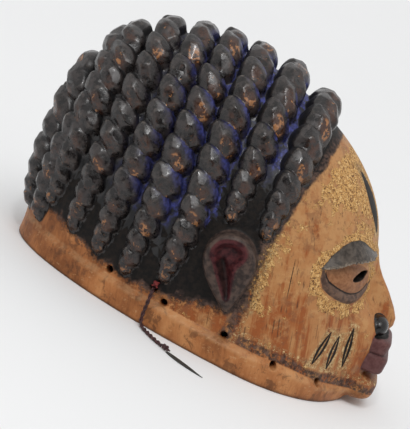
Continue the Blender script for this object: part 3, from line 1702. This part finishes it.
@dataclass(frozen=True)
class FlatPaint:
    """A paint of one kind over a small form, cloudy, with worn edges."""

    dark: Point
    light: Point
    worn: Point
    roughness: float
    wear: float = 0.5
    cuts: float = 0.08
    crease: Point = (0.008, 0.006, 0.006)

    def layer(self, tree: Tree) -> Layer:
        """Return the paint.

        Args:
            tree: The tree that the nodes go into.

        Returns:
            The paint's colour, roughness and height.
        """
        cloud = tree.noise(5.0, 5.0, 0.65)
        bend = tree.read("bend")
        edge = bend.rise(0.06, 0.2) * tree.noise(2.6, 4.0, 0.7).rise(0.40, 0.56)
        colour = tree.over(
            self.dark,
            (cloud.rise(0.36, 0.64), self.light),
            (edge * self.wear, self.worn),
            (bend.rise(-0.05, -0.2) * 0.7, self.crease),
        )
        height = cloud * 0.45 + tree.noise(1.2, 3.0) * 0.15
        rough = tree.between(cloud, self.roughness - 0.06, self.roughness + 0.08)
        return Layer(colour, rough, height, self.cuts)


BROW_PAINT = FlatPaint((0.036, 0.029, 0.024), (0.094, 0.076, 0.062), (0.50, 0.40, 0.30), 0.30, 0.5)
LID_PAINT = FlatPaint((0.058, 0.034, 0.026), (0.150, 0.086, 0.057), (0.34, 0.19, 0.10), 0.40, 0.6)
LIP_PAINT = FlatPaint((0.080, 0.029, 0.028), (0.125, 0.055, 0.052), (0.26, 0.13, 0.10), 0.46, 0.5)
EAR_PAINT = FlatPaint((0.028, 0.020, 0.018), (0.085, 0.057, 0.046), (0.30, 0.21, 0.15), 0.42, 0.8)
CONCHA_PAINT = FlatPaint((0.026, 0.006, 0.008), (0.085, 0.020, 0.022), (0.19, 0.075, 0.065), 0.42, 0.6)
BLACK_PAINT = FlatPaint((0.0040, 0.0034, 0.0034), (0.014, 0.010, 0.008), (0.20, 0.12, 0.07), 0.52, 0.25)
GLOSS_PAINT = FlatPaint((0.006, 0.005, 0.005), (0.012, 0.010, 0.009), (0.10, 0.07, 0.05), 0.20, 0.2, 0.12)
LINE_PAINT = FlatPaint((0.028, 0.018, 0.016), (0.120, 0.072, 0.055), (0.32, 0.19, 0.10), 0.55, 0.5)
BALL_WOOD = FlatPaint((0.200, 0.080, 0.034), (0.30, 0.140, 0.064), (0.42, 0.25, 0.13), 0.40, 0.3)
CHIP_WOOD = FlatPaint((0.46, 0.28, 0.12), (0.68, 0.50, 0.26), (0.75, 0.6, 0.4), 0.6, 0.3)


@dataclass(frozen=True)
class Spindle:
    """A mark of two cut strokes that bow apart and meet at their ends, drawn down the face.

    Its places are heights, and distances across the way that it is seen.
    """

    top: Pair
    bottom: Pair
    half_width: float
    radius: float

    def masks(self, tree: Tree, across: Value) -> tuple[Value, Value]:
        """Return where the strokes are, and where the chipped paint is at their ends.

        Args:
            tree: The tree that the masks belong to.
            across: The place of each point across the mark.

        Returns:
            The two masks.
        """
        rise = self.top[1] - self.bottom[1]
        t = (self.top[1] - tree.place_z) / rise
        inside = t.rise(0.0, 0.02) & t.rise(1.0, 0.98)
        bow = tree.maths("SINE", t * math.pi, 0.0)
        off = abs(across - (t * (self.bottom[0] - self.top[0]) + self.top[0]))
        ragged = tree.noise(1.5, 3.0, 0.7) * 0.7 - 0.35
        gap = abs(off - bow * self.half_width) - (bow * 0.7 + 0.3) * self.radius + ragged
        strokes = gap.rise(0.25, -0.25) & inside
        beside = off.rise(self.half_width + 4.4, self.half_width + 1.6)
        around = t.rise(-0.16, -0.02) & t.rise(1.14, 1.0)
        chips = beside & around & tree.noise(2.2, 5.0, 0.8, warp=1.0).rise(0.47, 0.53)
        return strokes, chips


CHEEK_MARKS = (
    Spindle((289.5, 63.0), (286.5, 31.5), 1.8, 1.1),
    Spindle((298.0, 60.5), (300.5, 29.5), 1.7, 1.05),
    Spindle((307.0, 70.0), (313.5, 33.5), 1.6, 1.1),
)
FOREHEAD_MARK = Spindle((16.0, 192.0), (15.0, 149.0), 3.4, 5.4)
CHEEK_CRACK = Spindle((231.0, 112.0), (240.0, 78.0), 0.0, 0.36)


class MaskFinish:
    """The whole painted surface of the mask, laid coat by coat over the bare wood."""

    mark_depth = 0.9
    shine = 0.17

    def __init__(self) -> None:
        """Start with the bare wood, and with the patterns that several coats share."""
        self.tree = tree = Tree("painted_wood")
        self.wide = tree.noise(22.0, 3.0, 0.6) * 14.0 - 7.0
        self.ragged = tree.noise(5.0, 6.0, 0.75) * 7.0 - 3.5
        self.fine = tree.noise(1.8, 4.0, 0.7) * 2.0 - 1.0
        self.x, self.z, self.beside = tree.place_x + RIM_BACK_TO_MIDDLE, tree.place_z, abs(tree.place_y)
        self.hair, self.ledge = tree.read("hair"), tree.read("ledge")
        self.hairline = tree.read("hairline") + self.wide * 0.5 + self.ragged
        self.outside = tree.read("dome").rise(-6.0, -3.0)
        self.above_ledge = (self.ledge + self.fine * 0.8).rise(-0.4, 0.8) & self.outside
        self.layers: dict[FlatPaint | FacePaint, Layer] = {}
        self.surface = BareWood().layer(tree)

    def lay(self, *coats: tuple[Value, FlatPaint | FacePaint]) -> None:
        """Lay paints over the surface in turn, each where its mask is 1."""
        for mask, paint in coats:
            if paint not in self.layers:
                self.layers[paint] = paint.layer(self.tree)
            self.surface = self.surface.under(self.tree, mask, self.layers[paint])

    def near(self, name: str, far: float, close: float, waver: float = 0.0) -> Value:
        """Return where the surface is close to a form, with an edge that the fine pattern moves."""
        return (self.tree.read(name) + self.fine * waver).rise(far, close)

    def patches(self, size: float, detail: float, roughness: float, low: float, high: float) -> Value:
        """Return patches of a cloudy pattern, between where they start and where they are full."""
        return self.tree.noise(size, detail, roughness).rise(low, high)

    def paint_head(self) -> None:
        """Paint the face ochre, and what lies behind the hairline black with a ragged lower edge."""
        front, behind = self.hairline.rise(-3.0, 1.0), self.hairline.rise(1.0, -3.0)
        strip = self.above_ledge & behind & (self.x + self.ragged).rise(125.0, 145.0)
        edge = self.tree.read("soot") + self.wide * 1.1 + self.ragged * 1.3
        stained = self.hairline.rise(4.0, -2.0) & edge.rise(-12.0, 4.0) & self.above_ledge
        stained = stained & (self.tree.noise(3.0, 5.0, 0.75) + edge * 0.03).rise(0.40, 0.58)
        drips = self.tree.noise(11.0, 4.0, 0.6) * 26.0 - 13.0
        ragged_edge = edge + drips - self.hair.rise(3.0, 14.0) * 7.0 + 3.0
        black = self.hairline.rise(3.0, -1.0) & ragged_edge.rise(-2.0, 7.0)
        self.lay(
            (self.above_ledge & front, FacePaint()),
            (strip & self.patches(6.0, 5.0, 0.7, 0.40, 0.52), FacePaint()),
            (stained, LINE_PAINT),
            ((black | (self.hair + self.fine).rise(4.2, 2.0)) & self.above_ledge, BLACK_PAINT),
        )

    def paint_lines(self) -> None:
        """Draw the dark line along the hairline and under the cheek, with a crust beside it."""
        line = (self.hairline + self.z.rise(120.0, 165.0) * 6.0).rise(9.0, 5.0)
        line = line & self.hairline.rise(-6.0, -1.0)
        over_ledge = (self.ledge + self.ragged * 1.1 + self.wide * 0.8).rise(10.0, 5.5)
        line = line | (over_ledge & (self.x + self.ragged).rise(212.0, 222.0))
        by_hair = self.hairline.rise(13.0, 10.0) & self.hairline.rise(6.5, 8.5) & self.z.rise(120.0, 105.0)
        height = self.ledge + self.ragged * 0.9
        by_ledge = height.rise(14.0, 12.0) & height.rise(8.5, 10.0) & self.x.rise(212.0, 225.0)
        chipped = self.tree.noise(2.4, 5.0, 0.8, warp=1.0).rise(0.51, 0.58)
        self.lay(
            ((line & self.above_ledge & self.patches(3.6, 5.0, 0.75, 0.40, 0.52)) * 0.92, LINE_PAINT),
            ((by_hair | by_ledge) & self.above_ledge & chipped, CHIP_WOOD),
        )

    def paint_features(self) -> None:
        """Paint the ear, the eye, the lips and the nose."""
        concha = self.near("ear_hollow", 1.6, 0.6, 0.4)
        eye = self.near("ball", 3.4, 2.4)
        shadow = self.near("lower_lid", 2.3, 1.5, 0.3) | (self.near("brow", 2.6, 1.4, 0.3) * 0.7)
        self.lay(
            (self.near("ear", 1.4, 0.4) & self.hair.rise(0.5, 1.5), EAR_PAINT),
            (concha, CONCHA_PAINT),
            ((self.near("ear_cut", 2.5, -2.0) & concha) * 0.8, BLACK_PAINT),
            (eye, BALL_WOOD),
            (eye & shadow, BLACK_PAINT),
            (self.near("lower_lid", 1.0, 0.3, 0.4), LID_PAINT),
            (self.near("brow", 1.1, 0.6, 0.2), BROW_PAINT),
            (self.near("lips", 1.2, 0.5, 0.3), LIP_PAINT),
            (self.near("nostril", 1.7, 1.1, 0.2), GLOSS_PAINT),
            (self.near("nose_slit", 1.0, 0.4), BLACK_PAINT),
            (self.near("eye_slot", 0.7, 0.2), BLACK_PAINT),
        )

    def cut_marks(self) -> None:
        """Cut the marks on the cheek and the forehead, and draw the crack in the cheek."""
        cheek, forehead = self.beside.rise(14.0, 18.0), self.x.rise(215.0, 225.0)
        marks = [(mark, self.x, cheek) for mark in CHEEK_MARKS]
        for mark, across, side in (*marks, (FOREHEAD_MARK, self.beside, forehead)):
            strokes, chips = (mask & side & self.outside for mask in mark.masks(self.tree, across))
            self.lay((chips, CHIP_WOOD), (strokes, BLACK_PAINT))
            self.surface.height = self.surface.height - strokes * self.mark_depth
        crack, _ = CHEEK_CRACK.masks(self.tree, self.x)
        self.lay((crack & self.outside & self.beside.rise(40.0, 50.0), BLACK_PAINT))

    def build(self) -> bpy.types.Material:
        """Lay every coat, and return the material."""
        for lay_coats in (self.paint_head, self.paint_lines, self.paint_features, self.cut_marks):
            lay_coats()
        return self.tree.finish(self.surface, Specular_IOR_Level=self.shine)


@dataclass(frozen=True)
class GlossyFinish:
    """A paint under a thin clear gloss."""

    name: str
    paint: HairPaint | FlatPaint
    gloss: float
    gloss_roughness: float
    shine: float

    def build(self) -> bpy.types.Material:
        """Make the material, and return it."""
        tree = Tree(self.name)
        gloss = {"Coat_Weight": self.gloss, "Coat_Roughness": self.gloss_roughness}
        return tree.finish(self.paint.layer(tree), Specular_IOR_Level=self.shine, **gloss)


LOCK_FINISH = GlossyFinish("painted_locks", HairPaint(), 0.16, 0.10, 0.42)
NOSTRIL_FINISH = GlossyFinish("glossy_black", GLOSS_PAINT, 0.28, 0.08, 0.3)


def split(a: Array, b: Array, c: Array, d: Array) -> Array:
    """Return the two triangles of each four-sided face, from its corner numbers in order."""
    return np.concatenate([np.stack([a, b, c], -1), np.stack([a, c, d], -1)]).reshape(-1, 3)


def directions_across(line: Array) -> list[tuple[Array, Array]]:
    """Return two directions across a line at each of its points, carried along it untwisted.

    Args:
        line: The points of the line.

    Returns:
        A pair of directions for each point.
    """
    steps = unit(np.gradient(line, axis=0))
    side, pairs = np.cross(steps[0], ASKEW), []
    for step in steps:
        side = unit(side - step * (side @ step))
        pairs.append((side, np.cross(step, side)))
    return pairs


def tube_skin(line: Array, radii: Array, sides: int = 8) -> Skin:
    """Return a closed tube along a line.

    Args:
        line: The points of its middle.
        radii: Its radius at each point.
        sides: How many sides it has.

    Returns:
        Its corners, and its triangles as corner numbers.
    """
    turn = np.linspace(0.0, 2.0 * math.pi, sides, endpoint=False)
    rings = [
        point + radius * (np.outer(np.cos(turn), side) + np.outer(np.sin(turn), other))
        for point, radius, (side, other) in zip(line, radii, directions_across(line))
    ]
    count = len(line)
    corners = np.concatenate([*rings, line[:1], line[-1:]])
    ring, k = np.meshgrid(np.arange(count - 1), np.arange(sides), indexing="ij")
    a, b = ring * sides + k, ring * sides + (k + 1) % sides
    walls = split(a, b, b + sides, a + sides)
    k = np.arange(sides)
    ahead = (k + 1) % sides
    last = (count - 1) * sides
    start = np.stack([ahead, k, np.full(sides, count * sides)], -1)
    end = np.stack([last + k, last + ahead, np.full(sides, count * sides + 1)], -1)
    return corners, np.concatenate([walls, start, end])


def joined(skins: list[Skin]) -> Skin:
    """Return several skins as one."""
    corners, faces = zip(*skins)
    before = np.cumsum([0, *(len(points) for points in corners)])
    return np.concatenate(corners), np.concatenate([part + count for part, count in zip(faces, before)])


def smooth_line(points: Array, spacing: float) -> Array:
    """Return a smooth line through points, as points about so far apart.

    Args:
        points: Points that the line goes through.
        spacing: How far apart its own points are.

    Returns:
        The line's points.
    """
    padded = np.vstack([2 * points[0] - points[1], points, 2 * points[-1] - points[-2]])
    line = []
    for k in range(1, len(padded) - 2):
        before, start, end, after = padded[k - 1 : k + 3]
        steps = max(2, int(round(np.linalg.norm(end - start) / spacing)))
        square = 2 * before - 5 * start + 4 * end - after
        cube = 3 * start - before - 3 * end + after
        for t in np.arange(steps) / steps:
            line.append(0.5 * (2 * start + (end - before) * t + square * t**2 + cube * t**3))
    line.append(padded[-2])
    return np.array(line)


@dataclass(frozen=True)
class LeatherFinish:
    """Old leather or cord: its colours and how rough it is."""

    name: str
    dark: Point
    light: Point
    roughness: float

    def build(self) -> bpy.types.Material:
        """Make the material.

        Returns:
            The material.
        """
        tree = Tree(self.name)
        cloud = tree.noise(2.4, 5.0, 0.7)
        fibre = tree.noise(0.6, 3.0, 0.7)
        colour = tree.blend(cloud.rise(0.38, 0.62), self.dark, self.light)
        rough = tree.between(cloud, self.roughness - 0.1, self.roughness + 0.1)
        return tree.finish(Layer(colour, rough, (fibre + cloud) * 0.3), Specular_IOR_Level=0.4)


class FinishKind(Enum):
    """The finishes of the thongs' pieces, which are also their material slots."""

    TIE_CORD = LeatherFinish("tie_cord", (0.10, 0.010, 0.011), (0.24, 0.032, 0.030), 0.8)
    THONG_LEATHER = LeatherFinish("thong_leather", (0.020, 0.006, 0.007), (0.075, 0.024, 0.023), 0.5)
    BLADE_LEATHER = LeatherFinish("blade_leather", (0.018, 0.018, 0.017), (0.062, 0.060, 0.053), 0.45)


class Side(Enum):
    """The sides of the mask: the one that the photo shows, and the other one."""

    NEAR = "near"
    FAR = "far"


@dataclass
class Thong:
    """A thong of two twisted strands, with its tie, its knot and its leather tip, on one side."""

    side: Side
    finishes: dict[FinishKind, bpy.types.Material]
    # The middle line of the near thong, from inside its hole to its knot.
    route: tuple[Point, ...] = (
        (134.0, -92.0, 33.0), (134.0, -97.5, 33.0), (134.0, -101.5, 32.9), (134.2, -104.8, 30.8),
        (134.5, -106.8, 26.5), (135.0, -107.4, 20.0), (135.5, -107.8, 13.0), (136.5, -108.9, 6.8),
        (138.7, -112.0, 3.2), (142.5, -117.0, 2.0), (147.0, -122.5, 2.0), (151.8, -127.8, 2.0),
        (157.0, -132.6, 2.0), (162.5, -137.0, 2.0),
    )
    strand_radius: float = 0.98
    strand_offset: float = 0.82
    twist_length: float = 11.0
    tie_centre: Point = (134.0, -100.6, 38.0)
    knot_centre: Point = (165.6, -139.6, 3.0)
    heading: float = -38.0
    tip_start: Pair = (169.0, -142.3)
    tip_length: float = 40.0
    tip_width: float = 6.6
    tip_bend: float = 7.0
    tip_thickness: float = 1.5

    def strands(self, line: Array) -> Skin:
        """Return the two strands, twisted round the thong's middle line.

        Args:
            line: The points of the thong's middle line.

        Returns:
            Its corners and faces.
        """
        turns = 2.0 * math.pi * run_along(line) / self.twist_length
        across = [
            side * math.cos(turn) + other * math.sin(turn)
            for turn, (side, other) in zip(turns, directions_across(line))
        ]
        radii = np.full(len(line), self.strand_radius)
        offset = np.array(across) * self.strand_offset
        return joined([tube_skin(line + offset, radii), tube_skin(line - offset, radii)])

    def knot(self) -> Skin:
        """Return the knot: a strand tied over itself, and its two short ends.

        Returns:
            Its corners and faces.
        """
        turn = np.linspace(0.0, 2.0 * math.pi, 73)
        wide = 1.55 * (np.sin(turn) + 0.95 * np.sin(2.0 * turn))
        long_ = 1.55 * (np.cos(turn) - 0.95 * np.cos(2.0 * turn))
        line = np.stack([long_ * 0.82, wide * 0.66, -np.sin(3.0 * turn) * 1.05], axis=-1)
        skin = [tube_skin(line, np.full(len(line), 1.15))]
        reach = np.linspace(0.0, 4.6, 8)
        for angle in (12.0, -26.0):
            ahead, aside = math.cos(math.radians(angle)), math.sin(math.radians(angle))
            stub = np.stack([1.0 + reach * ahead, reach * aside, -0.12 * reach], axis=-1)
            skin.append(tube_skin(stub, np.linspace(0.95, 0.75, 8)))
        corners, faces = joined(skin)
        return self.headed(corners, self.knot_centre), faces

    def tie(self) -> Skin:
        """Return the tie: a thin cord wound round itself, with two short ends.

        Returns:
            Its corners and faces.
        """
        turn = np.linspace(0.0, 2.0 * math.pi * 3.25, 90)
        line = np.stack([np.linspace(-1.9, 1.9, 90), 1.75 * np.cos(turn), 1.85 * np.sin(turn)], axis=-1)
        skin = [tube_skin(line, np.full(90, 0.78))]
        reach = np.linspace(0.0, 1.0, 6)
        for sign in (-1.0, 1.0):
            stub = np.stack([sign * (0.8 + 1.9 * reach), -1.4 - 0.5 * reach, -1.0 - 1.2 * reach], axis=-1)
            skin.append(tube_skin(stub, np.full(6, 0.62)))
        corners, faces = joined(skin)
        return corners + self.tie_centre, faces

    def headed(self, corners: Array, place: Point) -> Array:
        """Return corners turned to the thong's heading and moved to a place."""
        turn = math.radians(self.heading)
        x, y, z = corners.T
        turned = [x * math.cos(turn) - y * math.sin(turn), x * math.sin(turn) + y * math.cos(turn), z]
        return np.stack(turned, axis=-1) + place

    def tip(self) -> Skin:
        """Return the leather tip: a leaf-shaped blade with a raised midrib.

        Returns:
            Its corners and faces.
        """
        t, s = np.meshgrid(np.linspace(0.0, 1.0, 33), np.linspace(-1.0, 1.0, 11), indexing="ij")
        half = 0.5 * self.tip_width * np.sin(math.pi * (0.08 + 0.92 * t) ** 0.75) ** 0.8
        x = self.tip_length * t
        y = self.tip_bend * t**2 + half * s
        rib = np.exp(-((s / 0.16) ** 2)) * 0.35
        curl = 0.5 * np.sin(math.pi * t) * s**2
        top = self.tip_thickness * (0.55 + rib) * (1.0 - 0.5 * t) + curl
        bottom = curl * 0.9 + 0.0 * x
        upper, lower = np.stack([x, y, top], -1), np.stack([x, y, bottom], -1)
        rows, columns = t.shape
        i, j = np.meshgrid(np.arange(rows - 1), np.arange(columns - 1), indexing="ij")
        a = (i * columns + j).ravel()
        sheet = split(a, a + columns, a + columns + 1, a + 1)
        number = np.arange(rows * columns).reshape(rows, columns)
        rim = np.concatenate([number[:, 0], number[-1, 1:], number[-2::-1, -1], number[0, -2:0:-1]])
        after, total = np.roll(rim, -1), rows * columns
        edge = split(rim, rim + total, after + total, after)
        corners = np.concatenate([upper.reshape(-1, 3), lower.reshape(-1, 3)])
        faces = np.concatenate([sheet, sheet[:, ::-1] + total, edge])
        return self.headed(corners, (*self.tip_start, 0.1)), faces

    def place(self, points: Array) -> Array:
        """Return points on this thong's side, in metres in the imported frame."""
        return to_frame(points) * (1.0, 1.0 if self.side is Side.NEAR else -1.0, 1.0)

    def piece(self, name: str, node: str, skin: Skin, finish: FinishKind) -> bpy.types.Object:
        """Make one piece of the thong and let it take its node's place.

        Args:
            name: The piece's name, after its side.
            node: The node's name, after its side.
            skin: Its corners and triangles.
            finish: What it is made of.

        Returns:
            The piece.
        """
        corners, faces = skin
        side = self.side.value
        faces = faces if self.side is Side.NEAR else faces[:, ::-1]
        mesh = mesh_of(f"{side}_{name}", self.place(corners), faces)
        mesh.materials.append(self.finishes[finish])
        made = added(f"{side}_{name}", mesh)
        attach(made, BODY)
        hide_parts(f"{side}_{node}")
        LOG.info("%s: %d faces", made.name, len(mesh.polygons))
        return made

    def build(self) -> None:
        """Make the thong with everything on it."""
        line = smooth_line(np.array(self.route), 0.8)
        thong = self.piece("thong_strands", "thong", self.strands(line), FinishKind.THONG_LEATHER)
        knot = self.piece("tied_knot", "knot", self.knot(), FinishKind.THONG_LEATHER)
        tip = self.piece("blade_tip", "leather_tip", self.tip(), FinishKind.BLADE_LEATHER)
        tie = self.piece("wound_tie", "tie", self.tie(), FinishKind.TIE_CORD)
        path = self.place(line)
        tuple(path[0])


@dataclass
class Studio:
    """The plain pale floor, the soft lights and the camera."""

    elevation: float = 13.0
    distance: float = 2.0
    target: Point = (-0.0215, 0.0, 0.0892)
    right_x: float = 0.8905
    right_v: float = 0.4549
    lens: float = 186.5
    sight: Pair = (0.05, 30.0)
    floor_half: float = 6.0
    floor_colour: Point = (0.825, 0.83, 0.835)
    surroundings: float = 0.78
    dullness: float = 0.9
    # Where the broad main light comes from, and the name, place, width and power of each lamp.
    sun_from: Point = (0.0, -1.0, 1.35)
    sun_power: float = 0.95
    sun_spread: float = 34.0
    lamps: tuple[tuple[str, Point, float, float], ...] = (
        ("glint", (-0.22, -1.30, 1.50), 0.13, 4.6),
    )
    # The unlit side of the room, behind the camera: half its width, its foot and top, and how far.
    dark_side: tuple[float, float, float, float] = (2.2, -0.02, 1.25, 2.6)

    def build_camera(self) -> bpy.types.Object:
        """Place the camera, rolled as the mask was propped.

        Returns:
            The camera.
        """
        up = math.radians(self.elevation)
        back = Vector((0.0, -math.cos(up), math.sin(up)))
        level, rise = Vector((1.0, 0.0, 0.0)), Vector((0.0, math.sin(up), math.cos(up)))
        right = self.right_x * level + self.right_v * rise
        top = -self.right_v * level + self.right_x * rise
        data = bpy.data.cameras.new("camera")
        data.lens = self.lens
        data.clip_start, data.clip_end = self.sight
        camera = added("camera", data)
        turned = Matrix((right, top, back)).transposed().to_4x4()
        turned.translation = Vector(self.target) + back * self.distance
        camera.matrix_world = turned
        bpy.context.scene.camera = camera
        return camera

    def sheet(self, name: str, corners: list[Point], tree: Tree, colour: Value) -> bpy.types.Object:
        """Make a flat dull sheet of one colour between four corners, in metres."""
        mesh = mesh_of(name, np.array(corners), np.array([[0, 1, 2, 3]]))
        mesh.materials.append(tree.finish(Layer(colour, self.dullness, 0.0), 0.0))
        LOG.info("%s: 1 face", name)
        return added(name, mesh)

    def build_floor(self) -> None:
        """Lay the pale floor."""
        half, tree = self.floor_half, Tree("pale_floor")
        colour = tree.blend(
            tree.noise(400.0, 2.0), self.floor_colour, tuple(0.985 * part for part in self.floor_colour)
        )
        corners = [(-half, -half, 0.0), (half, -half, 0.0), (half, half, 0.0), (-half, half, 0.0)]
        floor = self.sheet("floor", corners, tree, colour)

    def build_dark_side(self) -> None:
        """Stand a dark wall behind the camera, so that gloss doesn't turn grey all over."""
        (half, foot, top, away), tree = self.dark_side, Tree("dark_wall")
        colour = tree.blend(tree.noise(300.0, 2.0), (0.03, 0.03, 0.03), (0.05, 0.05, 0.05))
        corners = [(-half, -away, foot), (half, -away, foot), (half, -away, top), (-half, -away, top)]
        wall = self.sheet("dark_side", corners, tree, colour)

    def shine(self, data: bpy.types.Light, power: float, place: Point, aim: Point) -> None:
        """Hang a light at a place, turned to what it is aimed at."""
        data.energy = power
        lamp = added(data.name, data)
        lamp.location = place
        lamp.rotation_euler = (Vector(aim) - Vector(place)).to_track_quat("-Z", "Y").to_euler()
        LOG.info("%s: light of power %.2f", data.name, power)

    def build_lights(self) -> None:
        """Set the soft lights and the plain surroundings, and show tones as they are."""
        data = bpy.data.lights.new("key", "SUN")
        data.angle = math.radians(self.sun_spread)
        self.shine(data, self.sun_power, self.sun_from, (0.0, 0.0, 0.0))
        for name, place, size, power in self.lamps:
            data = bpy.data.lights.new(name, "AREA")
            data.shape = "DISK"
            data.size = size
            self.shine(data, power, place, self.target)
        world = bpy.data.worlds.new("surroundings")
        world.use_nodes = True
        sky = world.node_tree.nodes["Background"]
        sky.inputs["Color"].default_value = (1.0, 1.0, 1.0, 1.0)
        sky.inputs["Strength"].default_value = self.surroundings
        bpy.context.scene.world = world
        bpy.context.scene.view_settings.view_transform = "Standard"


def main() -> None:
    """Build every piece in order, and report it."""
    logging.basicConfig(level=logging.INFO, format="%(message)s")
    studio = Studio()
    studio.build_camera()
    finishes = {kind: kind.value.build() for kind in FinishKind}
    for side in Side:
        Thong(side, finishes).build()
    carving = MaskCarving(HEAD)
    mesh = carving.mesh()
    for finish in (MaskFinish(), LOCK_FINISH, NOSTRIL_FINISH):
        mesh.materials.append(finish.build())
    PaintMap(carving).apply(mesh)
    mask = added("carved_mask", mesh)
    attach(mask, BODY)
    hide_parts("mask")
    LOG.info("%s: %d faces", mask.name, len(mesh.polygons))
    studio.build_floor()
    studio.build_dark_side()
    studio.build_lights()


if __name__ == "__main__":
    main()
